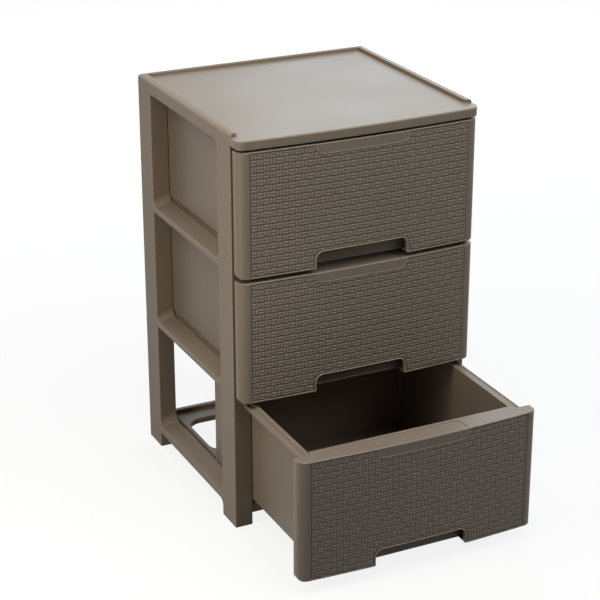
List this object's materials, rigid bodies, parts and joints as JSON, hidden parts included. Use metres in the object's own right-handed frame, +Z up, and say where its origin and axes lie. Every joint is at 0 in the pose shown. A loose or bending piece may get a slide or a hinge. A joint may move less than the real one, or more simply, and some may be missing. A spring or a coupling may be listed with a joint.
{
  "type": "plastic drawer tower",
  "caption": "Free-standing plastic drawer tower: open ladder side frames, rimmed top, ring shelves, and sliding drawers with bowed woven-look fronts and finger notches.",
  "frame": {"origin": "on the floor, at the centre of the two side frames' footprint", "axes": "+X to the right when facing the drawers, +Y to the rear, +Z up; the drawers open along -Y"},
  "size_m": [0.385, 0.566, 0.6157],
  "materials": {
    "frame_plastic": "satin, warm taupe",
    "front_plastic": "satin, warm taupe, woven-look relief",
    "tub_plastic": "satin, warm taupe"
  },
  "bodies": {
    "frame": {"top_panel": "frame_plastic", "left_side_frame": "frame_plastic", "right_side_frame": "frame_plastic", "upper_shelf_frame": "frame_plastic", "lower_shelf_frame": "frame_plastic", "base_frame": "frame_plastic"},
    "top_drawer": {"top_drawer_front": "front_plastic", "top_drawer_tub": "tub_plastic"},
    "middle_drawer": {"middle_drawer_front": "front_plastic", "middle_drawer_tub": "tub_plastic"},
    "bottom_drawer": {"bottom_drawer_front": "front_plastic", "bottom_drawer_tub": "tub_plastic"}
  },
  "joints": [
    {"name": "top_drawer_slide", "type": "slide", "parent": "frame", "child": "top_drawer", "axis": [0, -1, 0], "range_m": [0, 0.235]},
    {"name": "middle_drawer_slide", "type": "slide", "parent": "frame", "child": "middle_drawer", "axis": [0, -1, 0], "range_m": [0, 0.235]},
    {"name": "bottom_drawer_slide", "type": "slide", "parent": "frame", "child": "bottom_drawer", "axis": [0, -1, 0], "range_m": [-0.19, 0.045]}
  ]
}
